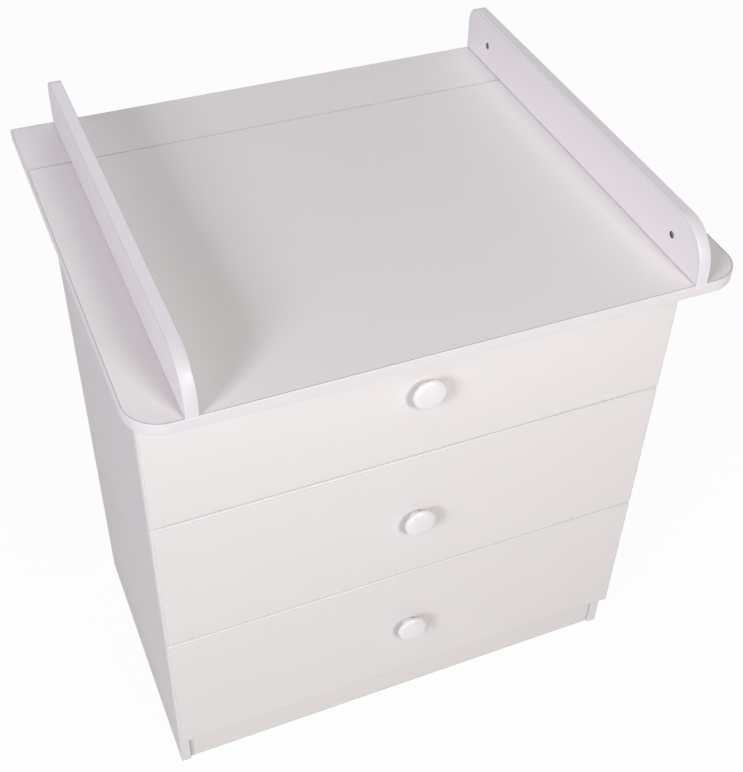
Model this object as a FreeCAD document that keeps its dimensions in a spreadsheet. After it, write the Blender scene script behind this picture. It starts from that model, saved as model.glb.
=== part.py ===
"""Changing dresser: a three-drawer chest under a changing board with two guard rails.

Frame: X to the right, Y to the back, Z up, the fronts facing -Y. The origin lies on the floor,
under the middle of the changing top. All lengths are millimetres.
"""
import FreeCAD
import Part
import os
import re
import Sketcher
from FreeCAD import Placement, Rotation, Vector

doc = FreeCAD.newDocument("changing_dresser")
doc.UndoMode = 0

DRAWERS = 3
LEFT = -1
RIGHT = 1
SIDES = (("left", LEFT), ("right", RIGHT))
INWARD = {LEFT: "+X", RIGHT: "-X"}
OUTWARD = {LEFT: "-X", RIGHT: "+X"}

# ---------------------------------------------------------------- driving dimensions
SIZES = {
    # chest
    "carcass_width": (800, "outside width over both side panels"),
    "side_depth": (460, "depth of a side panel"),
    "panel_thick": (16, "chipboard of the chest"),
    "toe_height": (80, "height of the toe board, up to the bottom panel"),
    "toe_setback": (5, "toe board behind the side panels' front edges"),
    "top_rail_width": (80, "width of the rails that carry the changing board"),
    "back_thick": (3, "hardboard back"),
    "back_inset": (8, "side panel behind the back panel's groove"),
    "back_groove": (6, "depth of the back panel's groove"),
    "back_lift": (1, "back panel's groove above the toe board's top"),
    # drawer fronts
    "front_thick": (16, "chipboard of a drawer front"),
    "front_standoff": (2, "closed front clear of the side panels"),
    "front_pitch": (264, "from one drawer front to the next"),
    "front_seam": (3, "gap between fronts and under the board"),
    "front_bottom": (84, "lowest edge of the bottom front"),
    # changing top
    "board_thick": (18, "changing board and rear strip"),
    "front_overhang": (97, "board in front of the drawer fronts"),
    "side_overhang": (22, "board beyond each side panel"),
    "rear_lip": (2, "board behind the side panels"),
    "strip_gap": (1, "fine joint between board and rear strip"),
    "strip_depth": (118, "rear strip"),
    "corner_radius": (50, "front corners of the board"),
    "guard_thick": (18, "guard rail"),
    "guard_height": (77, "guard rail above the board"),
    "guard_inset": (65, "guard rail in from the board's side edge"),
    "guard_front_radius": (60, "upper front corner of a guard rail"),
    "guard_rear_radius": (28, "upper rear corner of a guard rail"),
    # guard rail bolts and barrel nuts
    "nut_from_end": (71, "barrel nut from the rail's ends"),
    "nut_above_board": (36, "barrel nut's axis above the board"),
    "nut_diameter": (10, "barrel nut"),
    "nut_recess": (2, "barrel nut below the rail's inner face"),
    "bolt_diameter": (6, "guard rail bolt"),
    "bolt_past_nut": (7, "bolt's end above the nut's axis"),
    "bolt_head_diameter": (12, "guard rail bolt's head"),
    "bolt_head_height": (3.5, "guard rail bolt's head, sunk in the board's underside"),
    # cam fittings and dowels
    "cam_diameter": (15, "cam housing"),
    "cam_height": (12.6, "cam housing"),
    "cam_from_end": (34, "cam's centre from the panel's end"),
    "cam_bolt_thread": (5, "cam bolt in the side panel"),
    "cam_bolt_depth": (11, "cam bolt in the side panel"),
    "cam_bolt_shank": (6.6, "cam bolt between the side and the cam"),
    "cam_bolt_bore": (8, "bore for the cam bolt's shank"),
    "cam_first": (24, "first cam from a panel's front edge"),
    "dowel_after_cam": (32, "dowel next to a cam"),
    "bottom_cam_rear": (60, "rear cam of the bottom panel from its rear edge"),
    "dowel_diameter": (8, "wooden dowel"),
    "dowel_in_side": (10, "dowel's length in the side panel"),
    "dowel_in_panel": (20, "dowel's length in the other panel"),
    "strip_dowel_half": (17, "half length of a dowel between board and strip"),
    "strip_dowel_spacing": (240, "dowels between board and strip"),
    # screws
    "screw_diameter": (4, "wood screw"),
    "screw_head_diameter": (8, "wood screw's head"),
    "screw_head_height": (2.6, "wood screw's head"),
    "board_screw_bite": (12, "board screw in the changing board"),
    "board_screw_in": (190, "board screw from the middle of the rail"),
    "box_screw_bite": (26, "box screw in the end of a drawer panel"),
    "box_screw_edge": (36, "box screw from the upper and lower edges"),
    "front_screw_bite": (12, "front screw in the drawer front"),
    "front_screw_in": (60, "front screw from the box's sides"),
    # drawers
    "box_thick": (12, "walls of a drawer box"),
    "box_depth": (400, "drawer box, front to back"),
    "box_height": (170, "drawer box's side"),
    "box_above_edge": (26, "box's lower edge above its front's lower edge"),
    "box_clearance": (12.5, "room for the runners on each side"),
    "floor_thick": (3, "hardboard floor of a drawer"),
    "floor_raise": (8, "drawer floor above the box's lower edge"),
    "floor_groove": (6, "depth of the floor's groove"),
    # knobs
    "knob_diameter": (50, "knob's disc"),
    "knob_disc": (10, "thickness of the knob's disc"),
    "knob_neck_diameter": (22, "knob's neck"),
    "knob_neck": (12, "length of the knob's neck"),
    "knob_rim_radius": (4.5, "rounding of the disc's front rim"),
    "knob_back_radius": (2.5, "rounding of the disc's back rim"),
    "knob_bore_depth": (12, "screw's bore in the knob"),
    # roller runners
    "runner_sheet": (1.2, "steel of the runners"),
    "runner_end_gap": (0.5, "runner members short of the box's rear end"),
    "runner_flange": (8.6, "width of the runner's flanges"),
    "track_above_edge": (2, "roller track above the box's lower edge"),
    "rear_roller_diameter": (20, "roller on the drawer"),
    "front_roller_diameter": (22, "roller on the chest"),
    "roller_width": (6.6, "roller's tread"),
    "roller_pin_diameter": (5, "roller's rivet"),
    "roller_pin_head": (8, "roller rivet's head"),
    "pin_head_height": (0.8, "roller rivet's head"),
    "rear_roller_in": (15, "drawer roller's axis from the runner's rear end"),
    "front_roller_in": (16, "chest roller's axis from the runner's front end"),
    "flange_cutback": (32, "upper flange behind the chest member's front end"),
    # clearances
    "fit_clearance": (0.1, "between a pin and its hole, on the radius"),
    "sheet_clearance": (0.15, "between hardboard and its groove, each face"),
    "roller_clearance": (0.25, "between a roller and its track"),
    "flange_clearance": (0.6, "between the two members' flanges"),
    "side_clearance": (0.3, "between a roller and the faces beside it"),
    "bore_clearance": (1, "bore beyond the end of a fastener"),
}

DERIVED = {
    "half_width": "carcass_width / 2",
    "inner_half": "half_width - panel_thick",
    "board_depth": "front_overhang + front_thick + front_standoff + side_depth + rear_lip",
    "top_depth": "board_depth + strip_gap + strip_depth",
    "board_front": "0 - top_depth / 2",
    "board_rear": "board_front + board_depth",
    "strip_front": "board_rear + strip_gap",
    "board_width": "carcass_width + 2 * side_overhang",
    "board_half": "board_width / 2",
    "front_face": "board_front + front_overhang",
    "front_back": "front_face + front_thick",
    "side_front": "front_back + front_standoff",
    "side_rear": "side_front + side_depth",
    "back_front": "side_rear - back_inset - back_thick",
    "side_height": "front_bottom + %d * front_pitch" % DRAWERS,
    "board_top": "side_height + board_thick",
    "top_rail_bottom": "side_height - panel_thick",
    "bottom_top": "toe_height + panel_thick",
    "bottom_depth": "back_front - sheet_clearance - side_front",
    "bottom_rear": "side_front + bottom_depth",
    "guard_outer": "board_half - guard_inset",
    "guard_inner": "guard_outer - guard_thick",
    "front_height": "front_pitch - front_seam",
    "box_half": "inner_half - box_clearance",
    "box_inner_half": "box_half - box_thick",
    "box_front": "front_back",
    "box_rear": "box_front + box_depth",
    "runner_length": "box_depth - runner_end_gap",
    "groove_low": "toe_height + back_lift",
    "roller_axis_rear": "box_rear - rear_roller_in",
    "roller_axis_front": "side_front + front_roller_in",
    "channel_height": "rear_roller_diameter + 2 * roller_clearance",
    "drawer_flange": "channel_height + runner_sheet + flange_clearance",
    "runner_reach": "box_clearance - runner_sheet",
    "pin_bore": "dowel_diameter + 2 * fit_clearance",
    "screw_bore": "screw_diameter + 2 * fit_clearance",
    "screw_sink": "screw_head_diameter + 2 * fit_clearance",
    "bolt_bore": "bolt_diameter + 2 * fit_clearance",
    "nut_level": "board_top + nut_above_board",
    "mid_board": "side_height + board_thick / 2",
    "mid_rail": "side_height - panel_thick / 2",
    "mid_bottom": "toe_height + panel_thick / 2",
    "mid_toe": "side_front + toe_setback + panel_thick / 2",
    "rail_rear_front": "bottom_rear - top_rail_width",
}

sheet = doc.addObject("Spreadsheet::Sheet", "Sizes")
for row, (alias, (value, note)) in enumerate(SIZES.items(), start=1):
    sheet.set("A%d" % row, alias)
    sheet.set("B%d" % row, str(value))
    sheet.setAlias("B%d" % row, alias)
    sheet.set("C%d" % row, note)
doc.recompute()

WORD = re.compile(r"[a-z_]+")


def bound(text):
    """Write a formula in plain names as an expression on the sheet."""
    def swap(match):
        word = match.group(0)
        if word in DERIVED:
            return "(" + bound(DERIVED[word]) + ")"
        if word in SIZES:
            return "Sizes." + word
        raise KeyError(word)
    return WORD.sub(swap, str(text))


def bind(thing, prop, text):
    """Tie one property of an object to a formula."""
    thing.setExpression(prop, bound(text))


def bind_base(thing, place):
    """Tie an object's position to three formulas."""
    for letter, text in zip("xyz", place):
        bind(thing, "Placement.Base." + letter, text)


TURNS = {
    "+Z": Rotation(Vector(0, 0, 1), 0),
    "-Z": Rotation(Vector(1, 0, 0), 180),
    "+X": Rotation(Vector(0, 1, 0), 90),
    "-X": Rotation(Vector(0, 1, 0), -90),
    "+Y": Rotation(Vector(1, 0, 0), -90),
    "-Y": Rotation(Vector(1, 0, 0), 90),
}

NODES = []
counter = {}

# A sketch is drawn at these sizes before the sheet's values replace them.
DRAFT_WIDTH = 100
DRAFT_DEPTH = 60

# An edge this close to a face's level counts as lying on it.
TOUCH = 0.5
# Cosine by which an edge may be off a direction and still count as along it.
TURN_SLACK = 0.001
X_WAY = Vector(1, 0, 0)
Z_WAY = Vector(0, 0, 1)


def unique(name):
    """Give each helper object a name of its own."""
    counter[name] = counter.get(name, 0) + 1
    return "%s_%d" % (name, counter[name])


# ---------------------------------------------------------------- boards
def ground_plane(body):
    """Find the body's own XY plane."""
    for feature in body.Origin.OriginFeatures:
        if feature.Role == "XY_Plane":
            return feature
    raise RuntimeError("no XY plane in " + body.Label)


def board(label, size, corner):
    """Pad a rectangle: size and corner are formulas for X, Y and Z."""
    body = doc.addObject("PartDesign::Body", label)
    body.Label = label
    sketch = body.newObject("Sketcher::SketchObject", label + "_outline")
    sketch.AttachmentSupport = (ground_plane(body), [""])
    sketch.MapMode = "FlatFace"
    corners = [Vector(0, 0, 0), Vector(DRAFT_WIDTH, 0, 0),
               Vector(DRAFT_WIDTH, DRAFT_DEPTH, 0), Vector(0, DRAFT_DEPTH, 0)]
    for start, end in zip(corners, corners[1:] + corners[:1]):
        sketch.addGeometry(Part.LineSegment(start, end), False)
    for first, second in ((0, 1), (1, 2), (2, 3), (3, 0)):
        sketch.addConstraint(Sketcher.Constraint("Coincident", first, 2, second, 1))
    sketch.addConstraint(Sketcher.Constraint("Horizontal", 0))
    sketch.addConstraint(Sketcher.Constraint("Horizontal", 2))
    sketch.addConstraint(Sketcher.Constraint("Vertical", 1))
    sketch.addConstraint(Sketcher.Constraint("Vertical", 3))
    sketch.addConstraint(Sketcher.Constraint("Coincident", 0, 1, -1, 1))
    across = sketch.addConstraint(Sketcher.Constraint("DistanceX", 0, 1, 0, 2, DRAFT_WIDTH))
    along = sketch.addConstraint(Sketcher.Constraint("DistanceY", 1, 1, 1, 2, DRAFT_DEPTH))
    sketch.setExpression("Constraints[%d]" % across, bound(size[0]))
    sketch.setExpression("Constraints[%d]" % along, bound(size[1]))
    pad = body.newObject("PartDesign::Pad", label + "_pad")
    pad.Profile = sketch
    bind(pad, "Length", size[2])
    bind_base(body, corner)
    body.Tip = pad
    doc.recompute()
    NODES.append(body)
    return body


def drill(body, diameter, depth, mouth, way):
    """Bore a round hole into a body. The mouth is in the body's own frame."""
    hole = body.newObject("PartDesign::SubtractiveCylinder", unique(body.Name + "_bore"))
    bind(hole, "Radius", "(%s) / 2" % diameter)
    bind(hole, "Height", depth)
    hole.Placement = Placement(Vector(0, 0, 0), TURNS[way])
    bind_base(hole, mouth)
    body.Tip = hole


def mill(body, size, corner):
    """Cut a square groove into a body. The corner is in the body's own frame."""
    groove = body.newObject("PartDesign::SubtractiveBox", unique(body.Name + "_groove"))
    for prop, text in zip(("Length", "Width", "Height"), size):
        bind(groove, prop, text)
    bind_base(groove, corner)
    body.Tip = groove


def round_edges(body, radius, wanted):
    """Round the edges of a body that the test picks."""
    doc.recompute()
    base = body.Tip
    names = ["Edge%d" % (i + 1) for i, edge in enumerate(base.Shape.Edges) if wanted(edge)]
    rounding = body.newObject("PartDesign::Fillet", unique(body.Name + "_round"))
    rounding.Base = (base, names)
    bind(rounding, "Radius", radius)
    body.Tip = rounding
    doc.recompute()


def runs_along(edge, way):
    """Say whether a straight edge runs along a direction."""
    if edge.Curve.TypeId != "Part::GeomLine":
        return False
    return abs(edge.Curve.Direction.dot(way)) > 1 - TURN_SLACK


def rim_of(edge, radius):
    """Say whether an edge is a circle of a radius."""
    if edge.Curve.TypeId != "Part::GeomCircle":
        return False
    return abs(edge.Curve.Radius - radius) < TOUCH


# ---------------------------------------------------------------- turned pieces and sheet steel
def rod(name, steps, start, way):
    """Build a stepped round rod. Steps are (diameter, length) along the way from the start."""
    lengths = "0"
    sections = []
    for diameter, length in steps:
        section = doc.addObject("Part::Cylinder", unique(name + "_step"))
        bind(section, "Radius", "(%s) / 2" % diameter)
        bind(section, "Height", length)
        bind(section, "Placement.Base.z", lengths)
        lengths += " + (%s)" % length
        sections.append(section)
    whole = doc.addObject("Part::MultiFuse", unique(name))
    whole.Shapes = sections
    whole.Placement = Placement(Vector(0, 0, 0), TURNS[way])
    bind_base(whole, start)
    return whole


def plain_rod(name, diameter, length, start, way):
    """Build a round rod of one diameter."""
    bar = doc.addObject("Part::Cylinder", unique(name))
    bind(bar, "Radius", "(%s) / 2" % diameter)
    bind(bar, "Height", length)
    bar.Placement = Placement(Vector(0, 0, 0), TURNS[way])
    bind_base(bar, start)
    return bar


def block(name, size, corner):
    """Build a square block."""
    box = doc.addObject("Part::Box", unique(name))
    for prop, text in zip(("Length", "Width", "Height"), size):
        bind(box, prop, text)
    bind_base(box, corner)
    return box


def fuse(name, shapes):
    """Join shapes into one solid."""
    whole = doc.addObject("Part::MultiFuse", unique(name))
    whole.Shapes = shapes
    return whole


def cut(name, base, tool):
    """Take one shape away from another."""
    rest = doc.addObject("Part::Cut", unique(name))
    rest.Base = base
    rest.Tool = tool
    return rest


def group(label, members):
    """Put alike pieces in one node, each still a solid of its own."""
    node = doc.addObject("Part::Compound", label)
    node.Label = label
    node.Links = members
    NODES.append(node)
    return node


def span_x(side, near, far):
    """Place a stretch that runs from near to far, both measured inwards from a side panel."""
    if side == LEFT:
        return "0 - inner_half + (%s)" % near
    return "inner_half - (%s)" % far


# ---------------------------------------------------------------- chest
sides = {}
for word, side in SIDES:
    corner_x = "0 - half_width" if side == LEFT else "inner_half"
    sides[side] = board("side_panel_" + word, ("panel_thick", "side_depth", "side_height"),
                        (corner_x, "side_front", "0"))
    groove_x = "panel_thick - back_groove" if side == LEFT else "0"
    mill(sides[side],
         ("back_groove", "back_thick + 2 * sheet_clearance", "side_height - groove_low"),
         (groove_x, "back_front - sheet_clearance - side_front", "groove_low"))

bottom = board("bottom_panel", ("2 * inner_half", "bottom_depth", "panel_thick"),
               ("0 - inner_half", "side_front", "toe_height"))
toe = board("toe_board", ("2 * inner_half", "panel_thick", "toe_height"),
            ("0 - inner_half", "side_front + toe_setback", "0"))
rail_front = board("top_rail_front", ("2 * inner_half", "top_rail_width", "panel_thick"),
                   ("0 - inner_half", "side_front", "top_rail_bottom"))
rail_rear = board("top_rail_rear", ("2 * inner_half", "top_rail_width", "panel_thick"),
                  ("0 - inner_half", "rail_rear_front", "top_rail_bottom"))
board("back_panel",
      ("2 * (inner_half + back_groove - sheet_clearance)", "back_thick",
       "side_height - groove_low - sheet_clearance"),
      ("0 - inner_half - back_groove + sheet_clearance", "back_front",
       "groove_low + sheet_clearance"))

# A joint is (panel, way the cam goes in, cam's Y and Z, dowel's Y and Z), in the part's frame.
FROM_BELOW = "+Z"
FROM_BEHIND = "-Y"
CAM_JOINTS = (
    (bottom, FROM_BELOW, ("side_front + cam_first", "mid_bottom"),
     ("side_front + cam_first + dowel_after_cam", "mid_bottom")),
    (bottom, FROM_BELOW, ("bottom_rear - bottom_cam_rear", "mid_bottom"),
     ("bottom_rear - bottom_cam_rear - dowel_after_cam", "mid_bottom")),
    (rail_front, FROM_BELOW, ("side_front + cam_first", "mid_rail"),
     ("side_front + cam_first + dowel_after_cam", "mid_rail")),
    (rail_rear, FROM_BELOW, ("rail_rear_front + cam_first", "mid_rail"),
     ("rail_rear_front + cam_first + dowel_after_cam", "mid_rail")),
    (toe, FROM_BEHIND, ("mid_toe", "cam_first"), ("mid_toe", "cam_first + dowel_after_cam")),
)


PANEL_STARTS = {
    "bottom_panel": ("0 - inner_half", "side_front", "toe_height"),
    "toe_board": ("0 - inner_half", "side_front + toe_setback", "0"),
    "top_rail_front": ("0 - inner_half", "side_front", "top_rail_bottom"),
    "top_rail_rear": ("0 - inner_half", "rail_rear_front", "top_rail_bottom"),
    "side_panel_left": ("0 - half_width", "side_front", "0"),
    "side_panel_right": ("inner_half", "side_front", "0"),
    "changing_board": ("0 - board_half", "board_front", "side_height"),
    "rear_strip": ("0 - board_half", "strip_front", "side_height"),
}


def panel_mouth(panel, place):
    """Turn a place in the part's frame into the panel's own frame."""
    starts = PANEL_STARTS[panel.Name]
    return tuple("(%s) - (%s)" % pair for pair in zip(place, starts))


cam_housings = []
cam_bolts = []
wooden_dowels = []
for panel, way, cam_place, dowel_place in CAM_JOINTS:
    for side in (LEFT, RIGHT):
        end_x = "%d * inner_half" % side
        cam_x = "%d * (inner_half - cam_from_end)" % side
        inward = INWARD[side]
        outward = OUTWARD[side]
        end = (end_x,) + cam_place
        # the cam's pocket and housing
        mouth = (cam_x, cam_place[0], "(%s) - panel_thick / 2" % cam_place[1])
        if way == FROM_BEHIND:
            mouth = (cam_x, "(%s) + panel_thick / 2" % cam_place[0], cam_place[1])
        drill(panel, "cam_diameter + 2 * fit_clearance", "cam_height + fit_clearance",
              panel_mouth(panel, mouth), way)
        disc = plain_rod("cam_disc", "cam_diameter", "cam_height", mouth, way)
        slot = plain_rod("cam_slot", "cam_bolt_bore", "cam_from_end", end, inward)
        cam_housings.append(cut("cam_housing", disc, slot))
        # the cam bolt's bores and the bolt
        drill(panel, "cam_bolt_bore", "cam_from_end", panel_mouth(panel, end), inward)
        drill(sides[side], "cam_bolt_thread + 2 * fit_clearance",
              "cam_bolt_depth + bore_clearance", panel_mouth(sides[side], end), outward)
        bolt_start = ("%d * (inner_half + cam_bolt_depth)" % side,) + cam_place
        cam_bolts.append(rod("cam_bolt",
                             (("cam_bolt_thread", "cam_bolt_depth"),
                              ("cam_bolt_shank", "cam_from_end - cam_bolt_shank / 2")),
                             bolt_start, inward))
        # the dowel beside the cam
        dowel_end = (end_x,) + dowel_place
        drill(panel, "pin_bore", "dowel_in_panel + bore_clearance",
              panel_mouth(panel, dowel_end), inward)
        drill(sides[side], "pin_bore", "dowel_in_side + bore_clearance",
              panel_mouth(sides[side], dowel_end), outward)
        dowel_start = ("%d * (inner_half + dowel_in_side)" % side,) + dowel_place
        wooden_dowels.append(plain_rod("wooden_dowel", "dowel_diameter",
                                       "dowel_in_side + dowel_in_panel", dowel_start, inward))
group("cam_housings", cam_housings)
group("cam_bolts", cam_bolts)
group("wooden_dowels", wooden_dowels)

# ---------------------------------------------------------------- changing top
top = board("changing_board", ("board_width", "board_depth", "board_thick"),
            PANEL_STARTS["changing_board"])
round_edges(top, "corner_radius",
            lambda edge: runs_along(edge, Z_WAY) and edge.CenterOfMass.y < TOUCH)
strip = board("rear_strip", ("board_width", "strip_depth", "board_thick"),
              PANEL_STARTS["rear_strip"])

# Four dowels stand evenly about the middle, one spacing apart.
DOWEL_STEPS = (-1.5, -0.5, 0.5, 1.5)
strip_dowels = []
for step in DOWEL_STEPS:
    middle_x = "%s * strip_dowel_spacing" % step
    drill(top, "pin_bore", "strip_dowel_half + bore_clearance",
          panel_mouth(top, (middle_x, "board_rear", "mid_board")), "-Y")
    drill(strip, "pin_bore", "strip_dowel_half + bore_clearance",
          panel_mouth(strip, (middle_x, "strip_front", "mid_board")), "+Y")
    start = (middle_x, "board_rear - strip_dowel_half", "mid_board")
    strip_dowels.append(plain_rod("strip_dowel", "dowel_diameter",
                                  "2 * strip_dowel_half + strip_gap", start, "+Y"))
group("strip_dowels", strip_dowels)

# A bolt is (the board that it passes through, its place front to back).
BOLT_PLACES = (
    (top, "board_front + nut_from_end"),
    (strip, "board_front + top_depth - nut_from_end"),
)
rail_bolts = []
barrel_nuts = []
for word, side in SIDES:
    guard_x = "0 - guard_outer" if side == LEFT else "guard_inner"
    guard = board("guard_rail_" + word, ("guard_thick", "top_depth", "guard_height"),
                  (guard_x, "board_front", "board_top"))
    top_level = guard.Shape.BoundBox.ZMax - guard.Placement.Base.z - TOUCH
    rear_level = guard.Shape.BoundBox.YMax - guard.Placement.Base.y - TOUCH
    round_edges(guard, "guard_front_radius",
                lambda edge: runs_along(edge, X_WAY) and edge.CenterOfMass.z > top_level
                and edge.CenterOfMass.y < TOUCH)
    round_edges(guard, "guard_rear_radius",
                lambda edge: runs_along(edge, X_WAY) and edge.CenterOfMass.z > top_level
                and edge.CenterOfMass.y > rear_level)
    middle_x = "%d * (guard_inner + guard_thick / 2)" % side
    face_x = "guard_thick" if side == LEFT else "0"
    for carrier, place_y in BOLT_PLACES:
        # barrel nut from the inner face
        along_y = "(%s) - board_front" % place_y
        drill(guard, "nut_diameter + 2 * fit_clearance", "guard_thick - nut_recess",
              (face_x, along_y, "nut_above_board"), OUTWARD[side])
        nut = plain_rod("barrel_nut_body", "nut_diameter", "guard_thick - 2 * nut_recess",
                        ("%d * (guard_inner + nut_recess)" % side, place_y, "nut_level"),
                        OUTWARD[side])
        thread = plain_rod("barrel_nut_thread", "bolt_bore", "2 * nut_diameter",
                           (middle_x, place_y, "nut_level - nut_diameter"), "+Z")
        barrel_nuts.append(cut("barrel_nut", nut, thread))
        # bolt from under the board, its head sunk flush
        drill(guard, "bolt_bore", "nut_above_board + bolt_past_nut + bore_clearance",
              ("guard_thick / 2", along_y, "0"), "+Z")
        under = (middle_x, place_y, "side_height")
        drill(carrier, "bolt_bore", "board_thick", panel_mouth(carrier, under), "+Z")
        drill(carrier, "bolt_head_diameter + 2 * fit_clearance", "bolt_head_height",
              panel_mouth(carrier, under), "+Z")
        rail_bolts.append(rod("rail_bolt",
                              (("bolt_head_diameter", "bolt_head_height"),
                               ("bolt_diameter", "board_thick - bolt_head_height"
                                " + nut_above_board + bolt_past_nut")),
                              under, "+Z"))
group("rail_bolts", rail_bolts)
group("rail_barrel_nuts", barrel_nuts)

board_screws = []
for rail, rail_start in ((rail_front, "side_front"), (rail_rear, "rail_rear_front")):
    for side in (LEFT, RIGHT):
        place = ("%d * board_screw_in" % side, "%s + top_rail_width / 2" % rail_start)
        under = place + ("top_rail_bottom",)
        over = place + ("side_height",)
        drill(rail, "screw_bore", "panel_thick", panel_mouth(rail, under), "+Z")
        drill(rail, "screw_sink", "screw_head_height", panel_mouth(rail, under), "+Z")
        drill(top, "screw_bore", "board_screw_bite + bore_clearance",
              panel_mouth(top, over), "+Z")
        board_screws.append(rod("board_screw",
                                (("screw_head_diameter", "screw_head_height"),
                                 ("screw_diameter",
                                  "panel_thick - screw_head_height + board_screw_bite")),
                                under, "+Z"))
group("board_screws", board_screws)


# ---------------------------------------------------------------- drawers
def counterbored(body, length, mouth, way):
    """Bore for a wood screw whose head lies in the surface."""
    drill(body, "screw_bore", length, mouth, way)
    drill(body, "screw_sink", "screw_head_height", mouth, way)


def knob(label, level):
    """Turn a mushroom knob: neck and disc, with rounded rims, bored for its screw."""
    body = doc.addObject("PartDesign::Body", label)
    body.Label = label
    neck = body.newObject("PartDesign::AdditiveCylinder", label + "_neck")
    bind(neck, "Radius", "knob_neck_diameter / 2")
    bind(neck, "Height", "knob_neck + knob_disc / 2")
    disc = body.newObject("PartDesign::AdditiveCylinder", label + "_disc")
    bind(disc, "Radius", "knob_diameter / 2")
    bind(disc, "Height", "knob_disc")
    bind(disc, "Placement.Base.z", "knob_neck")
    body.Tip = disc
    rim = sheet.knob_diameter / 2
    middle = sheet.knob_neck + sheet.knob_disc / 2
    round_edges(body, "knob_rim_radius",
                lambda edge: rim_of(edge, rim) and edge.CenterOfMass.z > middle)
    round_edges(body, "knob_back_radius",
                lambda edge: rim_of(edge, rim) and edge.CenterOfMass.z < middle)
    drill(body, "screw_bore", "knob_bore_depth", ("0", "0", "0"), "+Z")
    body.Placement = Placement(Vector(0, 0, 0), TURNS["-Y"])
    bind_base(body, ("0", "front_face", level))
    NODES.append(body)


def roller_pair(label, diameter, start_near, axis_y, axis_z):
    """Make the left and right rollers of one axis."""
    rollers = []
    for side in (LEFT, RIGHT):
        way = INWARD[side]
        start = ("%d * (inner_half - (%s))" % (side, start_near), axis_y, axis_z)
        tread = plain_rod(label + "_tread", diameter, "roller_width", start, way)
        bore = plain_rod(label + "_bore", "roller_pin_diameter + 2 * fit_clearance",
                         "roller_width", start, way)
        rollers.append(cut(label + "_roller", tread, bore))
    group(label, rollers)


def chest_runners(label, track):
    """Make the chest's pair of runner members: a channel open to the drawer, and a roller pin."""
    members = []
    for side in (LEFT, RIGHT):
        width = "runner_sheet + runner_flange"
        web = block(label + "_web",
                    ("runner_sheet", "runner_length", "channel_height + 2 * runner_sheet"),
                    (span_x(side, "0", "runner_sheet"), "side_front", "(%s) - runner_sheet" % track))
        lower = block(label + "_track", (width, "runner_length", "runner_sheet"),
                      (span_x(side, "0", width), "side_front", "(%s) - runner_sheet" % track))
        upper = block(label + "_upper", (width, "runner_length - flange_cutback", "runner_sheet"),
                      (span_x(side, "0", width), "side_front + flange_cutback",
                       "(%s) + channel_height" % track))
        axis_z = "(%s) + drawer_flange - roller_clearance - front_roller_diameter / 2" % track
        pin = rod(label + "_pin",
                  (("roller_pin_diameter",
                    "runner_sheet / 2 + roller_width + 2 * side_clearance"),
                   ("roller_pin_head", "pin_head_height")),
                  ("%d * (inner_half - runner_sheet / 2)" % side, "roller_axis_front", axis_z),
                  INWARD[side])
        members.append(fuse(label + "_member", [web, lower, upper, pin]))
    group(label, members)


def drawer_runners(label, track, edge):
    """Make the drawer's pair of runner members: a Z section and a roller pin."""
    members = []
    for side in (LEFT, RIGHT):
        web = block(label + "_web",
                    ("runner_sheet", "runner_length",
                     "(%s) + drawer_flange + runner_sheet - (%s) + runner_sheet" % (track, edge)),
                    (span_x(side, "runner_reach", "box_clearance"), "box_front",
                     "(%s) - runner_sheet" % edge))
        foot = block(label + "_foot",
                     ("runner_sheet + box_thick", "runner_length", "runner_sheet"),
                     (span_x(side, "runner_reach", "box_clearance + box_thick"), "box_front",
                      "(%s) - runner_sheet" % edge))
        flange_near = "runner_reach - runner_flange + side_clearance"
        flange = block(label + "_flange",
                       ("runner_sheet + runner_flange - side_clearance",
                        "runner_length - front_standoff", "runner_sheet"),
                       (span_x(side, flange_near, "box_clearance"), "side_front",
                        "(%s) + drawer_flange" % track))
        pin = rod(label + "_pin",
                  (("roller_pin_diameter",
                    "runner_sheet / 2 + roller_width + 2 * side_clearance"),
                   ("roller_pin_head", "pin_head_height")),
                  ("%d * (box_half + runner_sheet / 2)" % side, "roller_axis_rear",
                   "(%s) + roller_clearance + rear_roller_diameter / 2" % track),
                  OUTWARD[side])
        members.append(fuse(label + "_member", [web, foot, flange, pin]))
    group(label, members)


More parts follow.
